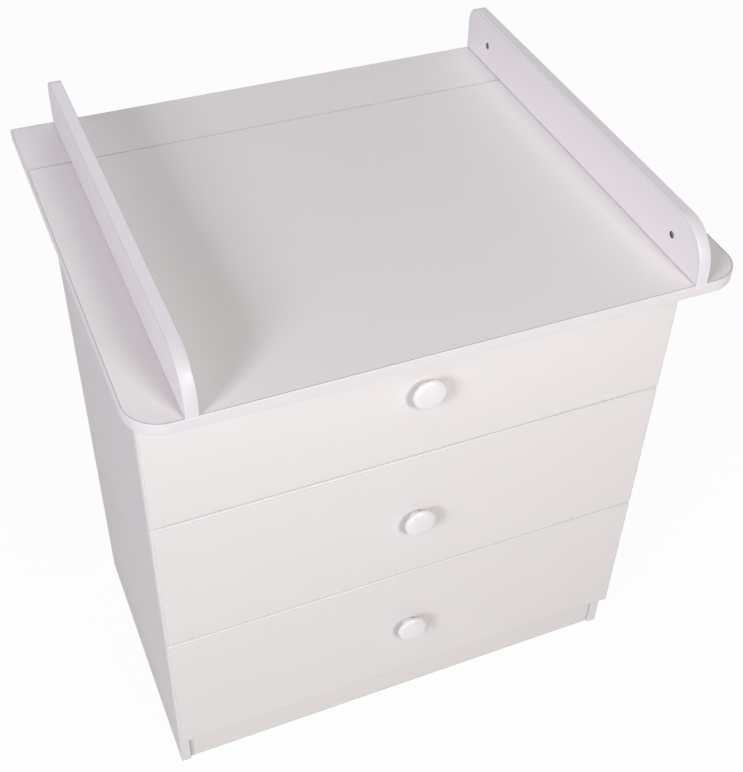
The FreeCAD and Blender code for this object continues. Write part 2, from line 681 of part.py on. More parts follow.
def drawer(number):
    """Build one drawer; number 1 is the top one."""
    name = "drawer_%d_" % number
    lower = "front_bottom + %d * front_pitch" % (DRAWERS - number)
    edge = "%s + box_above_edge" % lower
    track = "%s + track_above_edge" % edge
    middle = "%s + front_height / 2" % lower
    back_low = "floor_raise + floor_thick + sheet_clearance"
    front = board(name + "front", ("carcass_width", "front_thick", "front_height"),
                  ("0 - half_width", "front_face", lower))
    walls = {}
    for word, side in SIDES:
        corner_x = "0 - box_half" if side == LEFT else "box_inner_half"
        wall = board(name + "side_" + word, ("box_thick", "box_depth", "box_height"),
                     (corner_x, "box_front", edge))
        groove_x = "box_thick - floor_groove" if side == LEFT else "0"
        mill(wall, ("floor_groove", "box_depth", "floor_thick + 2 * sheet_clearance"),
             (groove_x, "0", "floor_raise - sheet_clearance"))
        walls[side] = wall
    inner = board(name + "inner_front", ("2 * box_inner_half", "box_thick", "box_height"),
                  ("0 - box_inner_half", "box_front", edge))
    mill(inner, ("2 * box_inner_half", "floor_groove", "floor_thick + 2 * sheet_clearance"),
         ("0", "box_thick - floor_groove", "floor_raise - sheet_clearance"))
    back = board(name + "back",
                 ("2 * box_inner_half", "box_thick", "box_height - (%s)" % back_low),
                 ("0 - box_inner_half", "box_rear - box_thick", "%s + %s" % (edge, back_low)))
    board(name + "floor",
          ("2 * (box_inner_half + floor_groove - sheet_clearance)",
           "box_depth - box_thick + floor_groove - sheet_clearance", "floor_thick"),
          ("0 - box_inner_half - floor_groove + sheet_clearance",
           "box_front + box_thick - floor_groove + sheet_clearance",
           "%s + floor_raise" % edge))

    screws = []
    # A corner is (the panel between the sides, the screw's place along the side, panel's foot).
    corners = (
        (inner, "box_thick / 2", "0"),
        (back, "box_depth - box_thick / 2", back_low),
    )
    for side in (LEFT, RIGHT):
        outer_x = "0" if side == LEFT else "box_thick"
        end_x = "0" if side == LEFT else "2 * box_inner_half"
        way = INWARD[side]
        for panel, along, foot in corners:
            for level in ("box_screw_edge", "box_height - box_screw_edge"):
                counterbored(walls[side], "box_thick", (outer_x, along, level), way)
                drill(panel, "screw_bore", "box_screw_bite + bore_clearance",
                      (end_x, "box_thick / 2", "%s - (%s)" % (level, foot)), way)
                screws.append(rod(name + "box_screw",
                                  (("screw_head_diameter", "screw_head_height"),
                                   ("screw_diameter",
                                    "box_thick - screw_head_height + box_screw_bite")),
                                  ("%d * box_half" % side, "box_front + %s" % along,
                                   "%s + %s" % (edge, level)), way))
    group(name + "box_screws", screws)

    face_screws = []
    for side in (LEFT, RIGHT):
        for level in ("box_screw_edge", "box_height - box_screw_edge"):
            place_x = "%d * (box_inner_half - front_screw_in)" % side
            mouth = ("box_inner_half + %s" % place_x, "box_thick", level)
            counterbored(inner, "box_thick", mouth, "-Y")
            drill(front, "screw_bore", "front_screw_bite + bore_clearance",
                  ("half_width + %s" % place_x, "front_thick", "box_above_edge + %s" % level),
                  "-Y")
            face_screws.append(rod(name + "front_screw",
                                   (("screw_head_diameter", "screw_head_height"),
                                    ("screw_diameter",
                                     "box_thick - screw_head_height + front_screw_bite")),
                                   (place_x, "box_front + box_thick", "%s + %s" % (edge, level)),
                                   "-Y"))
    group(name + "front_screws", face_screws)

    drill(front, "screw_bore", "front_thick", ("half_width", "front_thick", "front_height / 2"), "-Y")
    counterbored(inner, "box_thick",
                 ("box_inner_half", "box_thick", "front_height / 2 - box_above_edge"), "-Y")
    knob(name + "knob", middle)
    group(name + "knob_screw",
          [rod(name + "knob_screw_rod",
               (("screw_head_diameter", "screw_head_height"),
                ("screw_diameter", "box_thick - screw_head_height + front_thick"
                 " + knob_bore_depth - bore_clearance")),
               ("0", "box_front + box_thick", middle), "-Y")])

    chest_runners(name + "chest_runners", track)
    drawer_runners(name + "runners", track, edge)
    roller_pair(name + "chest_rollers", "front_roller_diameter",
                "runner_sheet + side_clearance", "roller_axis_front",
                "%s + drawer_flange - roller_clearance - front_roller_diameter / 2" % track)
    roller_pair(name + "rear_rollers", "rear_roller_diameter",
                "runner_reach - side_clearance - roller_width", "roller_axis_rear",
                "%s + roller_clearance + rear_roller_diameter / 2" % track)


for number in range(1, DRAWERS + 1):
    drawer(number)

# ---------------------------------------------------------------- checks and files
doc.recompute()
failed = [item.Label for item in doc.Objects
          if "Invalid" in item.State or "Error" in item.State]
if failed:
    raise RuntimeError("failed objects: " + ", ".join(failed))
os.makedirs("parts", exist_ok=True)
for node in NODES:
    shape = node.Shape
    if shape.isNull() or not shape.isValid():
        raise RuntimeError("bad shape: " + node.Label)
    shape.exportStep("parts/%s.step" % node.Label)
    print("%-28s %3d solids %14.1f mm3" % (node.Label, len(shape.Solids), shape.Volume))
print("%d nodes" % len(NODES))
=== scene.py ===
"""Dress the changing dresser: banded boards, turned knobs, runners, fasteners and a studio.

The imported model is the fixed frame. Boards that show are modelled anew with rounded arrises and
edge bands and stand for their solids; the rest of the solids get a finish of their own.
Lengths are metres: X to the right, Y to the back, Z up.
"""
import logging
import math
from dataclasses import dataclass, replace
from enum import Enum, IntEnum
from typing import Any, Callable, Dict, List, Optional, Sequence, Tuple

import bmesh
import bpy
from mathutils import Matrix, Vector


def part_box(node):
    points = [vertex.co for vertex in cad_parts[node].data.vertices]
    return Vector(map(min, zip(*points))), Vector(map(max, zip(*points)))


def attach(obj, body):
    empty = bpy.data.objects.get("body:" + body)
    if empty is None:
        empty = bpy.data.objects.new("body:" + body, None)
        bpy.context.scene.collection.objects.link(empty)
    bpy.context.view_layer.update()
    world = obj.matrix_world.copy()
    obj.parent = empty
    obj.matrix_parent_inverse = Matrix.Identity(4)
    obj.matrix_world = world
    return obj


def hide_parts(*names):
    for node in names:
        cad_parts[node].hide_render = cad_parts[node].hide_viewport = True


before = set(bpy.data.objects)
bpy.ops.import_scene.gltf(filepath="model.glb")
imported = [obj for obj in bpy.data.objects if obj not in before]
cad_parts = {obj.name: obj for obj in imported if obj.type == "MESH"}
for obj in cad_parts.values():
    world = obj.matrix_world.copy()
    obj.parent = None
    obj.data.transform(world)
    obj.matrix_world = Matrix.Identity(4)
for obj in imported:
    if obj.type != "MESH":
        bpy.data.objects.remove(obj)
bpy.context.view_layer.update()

LOG = logging.getLogger("changing_dresser")
Colour = Tuple[float, float, float]
Point = Tuple[float, float, float]
Stop = Tuple[float, Colour]
Socket = bpy.types.NodeSocket
Material = bpy.types.Material
Piece = bpy.types.Object
Edge = bmesh.types.BMEdge
EdgeTest = Callable[[Edge], bool]
MM = 0.001
NOISE_LOW, NOISE_HIGH = 0.3, 0.7


# --- finishes
class Shader:
    """A node material built step by step around one Principled shader."""

    def __init__(self, name: str) -> None:
        """Start an empty material.

        Args:
            name: the material's name.
        """
        self.material = bpy.data.materials.new(name)
        self.material.use_nodes = True
        self.tree = self.material.node_tree
        self.tree.nodes.clear()
        output = self.tree.nodes.new("ShaderNodeOutputMaterial")
        self.principled = self.tree.nodes.new("ShaderNodeBsdfPrincipled")
        self.link(self.principled.outputs["BSDF"], output.inputs["Surface"])
        self.coordinates = self.tree.nodes.new("ShaderNodeTexCoord").outputs["Object"]

    def link(self, source: Socket, target: Socket) -> None:
        """Join two sockets."""
        self.tree.links.new(source, target)

    def scaled(self, scale: Point) -> Socket:
        """Stretch the object's coordinates.

        Args:
            scale: factor along each axis.

        Returns:
            The stretched coordinates.
        """
        mapping = self.tree.nodes.new("ShaderNodeMapping")
        mapping.inputs["Scale"].default_value = scale
        self.link(self.coordinates, mapping.inputs["Vector"])
        return mapping.outputs["Vector"]

    def noise(self, scale: float, detail: float = 3.0, rough: float = 0.5,
              where: Optional[Socket] = None) -> Socket:
        """Add a noise pattern.

        Args:
            scale: features per metre.
            detail: octaves.
            rough: weight of the finer octaves.
            where: coordinates, or None for the object's own.

        Returns:
            The pattern's value.
        """
        node = self.tree.nodes.new("ShaderNodeTexNoise")
        node.inputs["Scale"].default_value = scale
        node.inputs["Detail"].default_value = detail
        node.inputs["Roughness"].default_value = rough
        self.link(where or self.coordinates, node.inputs["Vector"])
        return node.outputs["Fac"]

    def cells(self, scale: float, where: Socket) -> Socket:
        """Add a cell pattern.

        Args:
            scale: cells per metre.
            where: the coordinates.

        Returns:
            Each cell's colour.
        """
        node = self.tree.nodes.new("ShaderNodeTexVoronoi")
        node.inputs["Scale"].default_value = scale
        self.link(where, node.inputs["Vector"])
        return node.outputs["Color"]

    def tint(self, pattern: Socket, *stops: Stop) -> None:
        """Colour the surface by a pattern.

        Args:
            pattern: the pattern.
            stops: its values, rising, with their colours.
        """
        node = self.tree.nodes.new("ShaderNodeValToRGB")
        elements = node.color_ramp.elements
        while len(elements) < len(stops):
            elements.new(0.5)
        for element, (place, colour) in zip(elements, stops):
            element.position = place
            element.color = (*colour, 1.0)
        self.link(pattern, node.inputs["Fac"])
        self.link(node.outputs["Color"], self.principled.inputs["Base Color"])

    def shade(self, pattern: Socket, dark: Colour, light: Colour) -> None:
        """Colour the surface from dark to light over a noise's usual range."""
        self.tint(pattern, (NOISE_LOW, dark), (NOISE_HIGH, light))

    def gloss(self, pattern: Socket, low: float, high: float) -> None:
        """Let a noise move the roughness.

        Args:
            pattern: the noise.
            low: roughness at the noise's usual low.
            high: roughness at its usual high.
        """
        node = self.tree.nodes.new("ShaderNodeMapRange")
        for socket, number in (("From Min", NOISE_LOW), ("From Max", NOISE_HIGH),
                               ("To Min", low), ("To Max", high)):
            node.inputs[socket].default_value = number
        self.link(pattern, node.inputs["Value"])
        self.link(node.outputs["Result"], self.principled.inputs["Roughness"])

    def relief(self, height: Socket, depth: float, strength: float = 1.0) -> None:
        """Add a bump after those already there.

        Args:
            height: the pattern.
            depth: its depth in metres.
            strength: share of the effect.
        """
        bump = self.tree.nodes.new("ShaderNodeBump")
        bump.inputs["Distance"].default_value = depth
        bump.inputs["Strength"].default_value = strength
        self.link(height, bump.inputs["Height"])
        normal = self.principled.inputs["Normal"]
        if normal.is_linked:
            self.link(normal.links[0].from_socket, bump.inputs["Normal"])
        self.link(bump.outputs["Normal"], normal)

    def plain(self, **values: float) -> None:
        """Set plain numbers on the shader; an underscore stands for a space."""
        for name, value in values.items():
            self.principled.inputs[name.replace("_", " ")].default_value = value


def mixed(first: Colour, second: Colour, share: float) -> Colour:
    """Blend two colours.

    Args:
        first: colour at share 0.
        second: colour at share 1.
        share: how far to go.

    Returns:
        The blend.
    """
    return tuple(a + (b - a) * share for a, b in zip(first, second))


def grey(level: float) -> Colour:
    """Make a neutral grey."""
    return (level, level, level)


@dataclass(frozen=True)
class Coating:
    """A finish that draws its own pattern."""

    name: str

    def make(self) -> Material:
        """Build the material.

        Returns:
            The material.
        """
        shader = Shader(self.name)
        self.draw(shader)
        return shader.material

    def draw(self, shader: Shader) -> None:
        """Draw the pattern; every finish has its own."""
        raise NotImplementedError


@dataclass(frozen=True)
class Melamine(Coating):
    """Melamine-faced board: white paper with a fine pearl relief and a hint of long streaks."""

    colour: Colour = (0.812, 0.783, 0.779)
    cloud: Colour = (0.806, 0.777, 0.773)
    roughness: float = 0.54
    specular: float = 0.12
    streaks_per_metre: float = 150.0
    handling_per_metre: float = 9.0
    pearl_per_metre: float = 1500.0
    wave_per_metre: float = 260.0
    pearl_depth: float = 0.000018
    wave_depth: float = 0.000027

    def draw(self, shader: Shader) -> None:
        """Draw streaks, traces of handling and two scales of relief."""
        streaks = shader.noise(self.streaks_per_metre, where=shader.scaled((0.03, 1.0, 1.0)))
        shader.tint(streaks, (0.35, self.cloud), (0.65, self.colour))
        handled = shader.noise(self.handling_per_metre, 4.0, 0.6)
        shader.gloss(handled, self.roughness - 0.04, self.roughness + 0.05)
        shader.relief(shader.noise(self.pearl_per_metre, 2.0), self.pearl_depth)
        shader.relief(shader.noise(self.wave_per_metre, 2.0), self.wave_depth, 0.5)
        shader.plain(Specular_IOR_Level=self.specular)


@dataclass(frozen=True)
class EdgeBand(Coating):
    """Plastic edge band: smoother and a shade cooler than the faces."""

    name: str = "edge_band"
    colour: Colour = (0.778, 0.745, 0.780)
    worn: Colour = (0.6, 0.6, 0.62)
    roughness: float = 0.36
    streaks_per_metre: float = 55.0
    peel_per_metre: float = 700.0
    peel_depth: float = 0.00001

    def draw(self, shader: Shader) -> None:
        """Draw streaks across the band and a faint orange peel."""
        streaks = shader.noise(self.streaks_per_metre, where=shader.scaled((1.0, 1.0, 9.0)))
        shader.shade(streaks, mixed(self.colour, self.worn, 0.10), self.colour)
        shader.gloss(streaks, self.roughness, self.roughness + 0.07)
        shader.relief(shader.noise(self.peel_per_metre, 2.0), self.peel_depth)


@dataclass(frozen=True)
class GlueLine(Coating):
    """Fine joint between a board's face and its band, much darker than both."""

    name: str = "glue_line"
    colour: Colour = (0.24, 0.21, 0.22)
    dots_per_metre: float = 400.0
    roughness: float = 0.6

    def draw(self, shader: Shader) -> None:
        """Draw a dotted line."""
        dots = shader.noise(self.dots_per_metre, rough=0.6)
        shader.shade(dots, mixed(self.colour, grey(0.7), 0.25), self.colour)
        shader.plain(Roughness=self.roughness)


@dataclass(frozen=True)
class RawChipboard(Coating):
    """Pressed chips, open pores: raw core on unbanded edges, near-black painted shade in bores."""

    light: Colour
    dark: Colour
    chips_per_metre: float = 520.0
    pores_per_metre: float = 900.0
    depth: float = 0.0002
    roughness: float = 0.85

    def draw(self, shader: Shader) -> None:
        """Draw chips that lie flat, and pores."""
        chips = shader.cells(self.chips_per_metre, shader.scaled((0.6, 0.6, 1.4)))
        shader.tint(chips, (0.15, self.dark), (0.45, mixed(self.dark, self.light, 0.6)),
                    (0.85, self.light))
        shader.plain(Roughness=self.roughness)
        shader.relief(chips, self.depth, 0.7)
        shader.relief(shader.noise(self.pores_per_metre, 5.0, 0.7), self.depth, 0.6)


@dataclass(frozen=True)
class Hardboard(Coating):
    """Thin pressed fibre board: a painted face or a brown netted back."""

    stops: Tuple[Stop, ...]
    roughness: float
    depth: float
    fibres_per_metre: float = 420.0

    def draw(self, shader: Shader) -> None:
        """Draw the fibres."""
        fibre = shader.noise(self.fibres_per_metre, 6.0, 0.7, shader.scaled((1.0, 0.4, 1.0)))
        shader.tint(fibre, *self.stops)
        shader.plain(Roughness=self.roughness)
        shader.relief(fibre, self.depth)


PAINTED = ((0.3, (0.70, 0.69, 0.665)), (0.7, (0.74, 0.73, 0.705)))
NETTED = ((0.25, (0.20, 0.115, 0.055)), (0.5, (0.33, 0.20, 0.10)), (0.8, (0.43, 0.28, 0.15)))


@dataclass(frozen=True)
class Lacquer(Coating):
    """Sprayed white lacquer on the knobs."""

    name: str = "knob_lacquer"
    colour: Colour = (0.84, 0.815, 0.822)
    coat: float = 0.25
    drift_per_metre: float = 60.0
    peel_per_metre: float = 420.0
    peel_depth: float = 0.00003

    def draw(self, shader: Shader) -> None:
        """Draw a slow drift of tone and gloss, and orange peel."""
        drift = shader.noise(self.drift_per_metre, 2.0)
        shader.shade(drift, mixed(self.colour, grey(0.7), 0.12), self.colour)
        shader.gloss(drift, 0.27, 0.34)
        shader.relief(shader.noise(self.peel_per_metre, 2.0), self.peel_depth, 0.5)
        shader.plain(Coat_Weight=self.coat)


@dataclass(frozen=True)
class Metal(Coating):
    """A plated or cast metal, worn in spots."""

    colour: Colour
    roughness: float
    wear_per_metre: float = 800.0
    wear_depth: float = 0.00003

    def draw(self, shader: Shader) -> None:
        """Draw the wear."""
        wear = shader.noise(self.wear_per_metre, 4.0, 0.6)
        shader.shade(wear, mixed(self.colour, grey(0.2), 0.25), self.colour)
        shader.gloss(wear, self.roughness - 0.06, self.roughness + 0.10)
        shader.relief(wear, self.wear_depth, 0.5)
        shader.plain(Metallic=1.0)


@dataclass(frozen=True)
class Coated(Coating):
    """Powder coat or moulded plastic: a solid colour with orange peel."""

    colour: Colour
    roughness: float
    peel_per_metre: float
    peel_depth: float
    drift_per_metre: float = 35.0

    def draw(self, shader: Shader) -> None:
        """Draw a slow drift of tone and gloss, and orange peel."""
        drift = shader.noise(self.drift_per_metre)
        shader.shade(drift, mixed(self.colour, grey(0.5), 0.06), self.colour)
        shader.gloss(drift, self.roughness - 0.03, self.roughness + 0.05)
        shader.relief(shader.noise(self.peel_per_metre, 2.0), self.peel_depth)


@dataclass(frozen=True)
class Beech(Coating):
    """Raw beech of the dowels: straight grain with fine flecks along X."""

    name: str = "beech"
    light: Colour = (0.60, 0.42, 0.24)
    dark: Colour = (0.42, 0.26, 0.13)
    grain_per_metre: float = 700.0
    depth: float = 0.0001
    roughness: float = 0.7

    def draw(self, shader: Shader) -> None:
        """Draw the grain."""
        grain = shader.noise(self.grain_per_metre, 5.0, 0.6, shader.scaled((0.06, 1.0, 1.0)))
        shader.shade(grain, self.dark, self.light)
        shader.plain(Roughness=self.roughness)
        shader.relief(grain, self.depth)


class Palette:
    """The object's finishes, each made once, some copies with light or shade painted in."""

    def __init__(self) -> None:
        """Make every finish."""
        self.melamine = Melamine("melamine_white").make()
        # the guard rails' copy is brighter and more lavender: painted light, for the extra light on
        # the rails' faces
        self.guard = Melamine("melamine_guard_painted_light", (0.900, 0.867, 0.884), (0.894, 0.861, 0.878)).make()
        # the side panels' copy is darker: painted shade, for the side panels taking less light than
        # the fronts and top
        self.side = Melamine("melamine_side_painted_shade", (0.727, 0.701, 0.697), (0.721, 0.695, 0.691)).make()
        # the toe board's copy is darker and warmer: painted shade, for the shadow under the drawer
        # fronts
        self.toe = Melamine("melamine_toe_painted_shade", (0.789, 0.764, 0.744), (0.781, 0.755, 0.735)).make()
        self.band = EdgeBand().make()
        # the drawer fronts' band is a brighter copy: painted light on the fronts' edges and the
        # bright line at the seams
        self.front_band_painted_light = EdgeBand("edge_band_front_painted_light", (0.838, 0.815, 0.808)).make()
        self.glue = GlueLine().make()
        self.raw = RawChipboard("raw_chipboard", (0.52, 0.38, 0.24), (0.27, 0.17, 0.09)).make()
        # near-black chips for bore walls: painted shade in the holes
        self.bore_shade = RawChipboard("bore_painted_shade", (0.16, 0.12, 0.09), (0.06, 0.04, 0.03)).make()
        self.hardboard_white = Hardboard("hardboard_white", PAINTED, 0.5, 0.00002).make()
        self.hardboard_brown = Hardboard("hardboard_brown", NETTED, 0.75, 0.00012).make()
        self.lacquer = Lacquer().make()
        self.plated = Metal("zinc_plated", (0.62, 0.62, 0.65), 0.32).make()
        self.cast = Metal("cast_zinc", (0.60, 0.60, 0.62), 0.45).make()
        self.powder = Coated("powder_coat", (0.77, 0.77, 0.76), 0.38, 480.0, 0.00005).make()
        self.nylon = Coated("moulded_nylon", (0.78, 0.78, 0.755), 0.45, 900.0, 0.00002).make()
        self.beech = Beech().make()


# --- modelling
class Way(Enum):
    """The six ways that a side can face."""

    LEFT = (-1, 0, 0)
    RIGHT = (1, 0, 0)
    FRONT = (0, -1, 0)
    BACK = (0, 1, 0)
    DOWN = (0, 0, -1)
    UP = (0, 0, 1)

    @property
    def vector(self) -> Vector:
        """Give the way as a unit vector."""
        return Vector(self.value)

    @property
    def axis(self) -> int:
        """Give the number of the axis that the way lies on."""
        return max(range(3), key=lambda index: abs(self.value[index]))


class Finish(IntEnum):
    """Places of a board's finishes in its list of materials."""

    FACE = 0
    BAND = 1
    RAW = 2
    GLUE = 3
    # near-black chips on bore walls: painted shade in the holes
    BORED = 4


Spot = Tuple[Point, Way]


@dataclass(frozen=True)
class Bore:
    """A round hole in a board: its mouth, the way it goes in, and its size."""

    mouth: Point
    way: Way
    radius: float
    depth: float


AXIS_ALIGNED = 0.9995  # cosine between two directions that count as one
SHARP = math.radians(60)  # least angle between the faces of an unrounded edge
HAIR = 0.2 * MM  # slack when places are compared
OVERCUT = 1.0 * MM  # how far a cutter sticks out of what it cuts
FINE_ARRIS = 0.5 * MM


def deselect() -> None:
    """Leave object mode's selection empty."""
    if bpy.context.object and bpy.context.object.mode != "OBJECT":
        bpy.ops.object.mode_set(mode="OBJECT")
    bpy.ops.object.select_all(action="DESELECT")


def activate(piece: Piece) -> None:
    """Make one object the only selected and active one."""
    deselect()
    piece.select_set(True)
    bpy.context.view_layer.objects.active = piece


def settle(piece: Piece) -> Piece:
    """Put an object's place and size into its mesh.

    Args:
        piece: the object.

    Returns:
        The same object.
    """
    activate(piece)
    bpy.ops.object.transform_apply(location=True, rotation=True, scale=True)
    return piece


def block(name: str, low: Vector, high: Vector) -> Piece:
    """Add a cube that fills a box.

    Args:
        name: the object's name.
        low: lowest corner.
        high: highest corner.

    Returns:
        The object.
    """
    deselect()
    bpy.ops.mesh.primitive_cube_add(size=1, location=(low + high) / 2, scale=high - low)
    piece = bpy.context.object
    piece.name = name
    return settle(piece)


def bar(name: str, mouth: Vector, way: Way, radius: float, depth: float,
        sides: int = 40) -> Piece:
    """Add a round bar that starts at a point and runs one way.

    Args:
        name: the object's name.
        mouth: middle of the bar's near end.
        way: the way that it runs.
        radius: its radius.
        depth: its length.
        sides: facets round it.

    Returns:
        The object.
    """
    deselect()
    bpy.ops.mesh.primitive_cylinder_add(
        vertices=sides, radius=radius, depth=depth, location=mouth + way.vector * depth / 2,
        rotation=way.vector.to_track_quat("Z", "Y").to_euler())
    piece = bpy.context.object
    piece.name = name
    return settle(piece)


def pick(piece: Piece, kind: str, wanted: Callable[[Any], bool]) -> int:
    """Go to edit mode with some edges or faces selected.

    Args:
        piece: the object.
        kind: EDGE or FACE.
        wanted: says which.

    Returns:
        How many are selected.
    """
    activate(piece)
    bpy.ops.object.mode_set(mode="EDIT")
    bpy.ops.mesh.select_mode(type=kind)
    bpy.ops.mesh.select_all(action="DESELECT")
    shape = bmesh.from_edit_mesh(piece.data)
    parts = shape.edges if kind == "EDGE" else shape.faces
    chosen = [part for part in parts if wanted(part)]
    for part in chosen:
        part.select_set(True)
    shape.select_flush_mode()
    bmesh.update_edit_mesh(piece.data)
    return len(chosen)


def bevel(piece: Piece, wanted: EdgeTest, radius: float, segments: int) -> None:
    """Round some edges with the bevel operator.

    Args:
        piece: the object.
        wanted: says which edges.
        radius: size of the rounding.
        segments: steps round it.
    """
    if pick(piece, "EDGE", wanted):
        bpy.ops.mesh.bevel(offset=radius, segments=segments, affect="EDGES", profile=0.5,
                           clamp_overlap=False)
    bpy.ops.object.mode_set(mode="OBJECT")


def select_faces(piece: Piece, way: Vector) -> None:
    """Go to edit mode with the faces that look one way selected."""
    pick(piece, "FACE", lambda face: face.normal.dot(way) > AXIS_ALIGNED)


def runs_along(edge: Edge, axis: int) -> bool:
    """Say whether an edge is parallel to an axis."""
    run = edge.verts[1].co - edge.verts[0].co
    return abs(run[axis]) > AXIS_ALIGNED * run.length


def middle(edge: Edge) -> Vector:
    """Find the middle of an edge."""
    return (edge.verts[0].co + edge.verts[1].co) / 2


def is_rim(edge: Edge) -> bool:
    """Say whether an edge is a sharp one."""
    return len(edge.link_faces) == 2 and edge.calc_face_angle(0.0) > SHARP


def subtract(piece: Piece, cutter: Piece) -> None:
    """Cut one object's volume out of another and remove the cutter.

    Args:
        piece: what is cut.
        cutter: the volume taken away.
    """
    modifier = piece.modifiers.new("cut", "BOOLEAN")
    modifier.operation = "DIFFERENCE"
    modifier.solver = "EXACT"
    modifier.object = cutter
    activate(piece)
    bpy.ops.object.modifier_apply(modifier=modifier.name)
    bpy.data.objects.remove(cutter)


def smooth(piece: Piece, degrees: float = 40.0) -> None:
    """Shade curved faces smooth and keep the flat ones flat.

    Args:
        piece: the object.
        degrees: sharpest angle that is shaded smooth.
    """
    activate(piece)
    bpy.ops.object.shade_smooth_by_angle(angle=math.radians(degrees))
    for polygon in piece.data.polygons:
        if max(abs(part) for part in polygon.normal) > AXIS_ALIGNED:
            polygon.use_smooth = False


def join(name: str, pieces: Sequence[Piece]) -> Piece:
    """Make several objects one.

    Args:
        name: the joined object's name.
        pieces: the objects.

    Returns:
        The joined object.
    """
    activate(pieces[0])
    for piece in pieces:
        piece.select_set(True)
    if len(pieces) > 1:
        bpy.ops.object.join()
    pieces[0].name = name
    return pieces[0]


def hand_over(piece: Piece, node: str, body: str) -> None:
    """Put a finished piece in the place of its solid.

    Args:
        piece: the finished piece.
        node: the solid that it stands for.
        body: the body that it rides on.
    """
    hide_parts(node)
    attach(piece, body)
    LOG.info("%s: %d faces", piece.name, len(piece.data.polygons))


def paint(nodes: Sequence[str], material: Material) -> None:
    """Give solids a finish.

    Args:
        nodes: the solids' names.
        material: the finish.
    """
    for name in nodes:
        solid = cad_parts[name]
        solid.data.materials.clear()
        solid.data.materials.append(material)
        LOG.info("%s: %s", name, material.name)


@dataclass
class Board:
    """A faced board that stands for a solid: rounded arrises, bands, glue lines and bores."""

    node: str
    body: str
    face: Way
    raw: Tuple[Way, ...] = ()
    tight: Tuple[Way, ...] = ()
    arris: float = 0.9 * MM
    tight_arris: float = 0.3 * MM
    glue_line: float = 0.3 * MM
    corners: Sequence[Tuple[EdgeTest, float]] = ()
    bores: Sequence[Bore] = ()
    facing: Optional[Material] = None
    banding: Optional[Material] = None
    corner_steps: int = 20
    arris_steps: int = 3
    tight_steps: int = 2
    smoothing: float = 32.0

    def build(self, palette: Palette) -> None:
        """Model the board and put it in the place of its solid.

        Args:
            palette: the finishes.
        """
        low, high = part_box(self.node)
        piece = block(self.node + "_board", low, high)
        for wanted, radius in self.corners:
            bevel(piece, wanted, radius, self.corner_steps)
        bevel(piece, self.is_tight, self.tight_arris, self.tight_steps)
        bevel(piece, self.is_arris, self.arris, self.arris_steps)
        for material in (self.facing or palette.melamine, self.banding or palette.band,
                         palette.raw, palette.glue, palette.bore_shade):
            piece.data.materials.append(material)
        self.dress(piece)
        for way in (self.face.vector, -self.face.vector):
            self.draw_glue_line(piece, way)
        for bore in self.bores:
            self.drill(piece, bore)
        smooth(piece, self.smoothing)
        hand_over(piece, self.node, self.body)

    def is_arris(self, edge: Edge) -> bool:
        """Say whether an edge is still sharp and lies on the rim or across its corners."""
        rounds_face = any(abs(face.normal[self.face.axis]) > AXIS_ALIGNED
                          for face in edge.link_faces)
        return is_rim(edge) and (rounds_face or runs_along(edge, self.face.axis))

    def is_tight(self, edge: Edge) -> bool:
        """Say whether an edge belongs to a side that butts against another board."""
        return self.is_arris(edge) and any(face.normal.dot(way.vector) > AXIS_ALIGNED
                                           for face in edge.link_faces for way in self.tight)

    def dress(self, piece: Piece) -> None:
        """Give the faces melamine, the rim its band and the hidden edges raw chipboard.

        Args:
            piece: the board.
        """
        for polygon in piece.data.polygons:
            polygon.material_index = Finish.BAND
            if abs(polygon.normal[self.face.axis]) > AXIS_ALIGNED:
                polygon.material_index = Finish.FACE
            elif any(polygon.normal.dot(way.vector) > AXIS_ALIGNED for way in self.raw):
                polygon.material_index = Finish.RAW

    def draw_glue_line(self, piece: Piece, way: Vector) -> None:
        """Draw the fine joint between a face and the band round it.

        Args:
            piece: the board.
            way: the way that the face looks.
        """
        select_faces(piece, way)
        bpy.ops.mesh.inset(thickness=self.glue_line)
        bpy.ops.mesh.select_all(action="INVERT")
        shape = bmesh.from_edit_mesh(piece.data)
        for face in shape.faces:
            if face.select and face.normal.dot(way) > AXIS_ALIGNED:
                face.material_index = Finish.GLUE
        bmesh.update_edit_mesh(piece.data)
        bpy.ops.object.mode_set(mode="OBJECT")

    def drill(self, piece: Piece, bore: Bore) -> None:
        """Bore a hole whose wall carries near-black painted shade.

        Args:
            piece: the board.
            bore: the hole.
        """
        mouth = Vector(bore.mouth) - bore.way.vector * OVERCUT
        cutter = bar("cutter", mouth, bore.way, bore.radius, bore.depth + OVERCUT)
        for material in piece.data.materials:
            cutter.data.materials.append(material)
        for polygon in cutter.data.polygons:
            polygon.material_index = Finish.BORED
        subtract(piece, cutter)


class Drive(Enum):
    """How a screw is turned."""

    CROSS = "cross"
    HEXAGON = "hexagon"


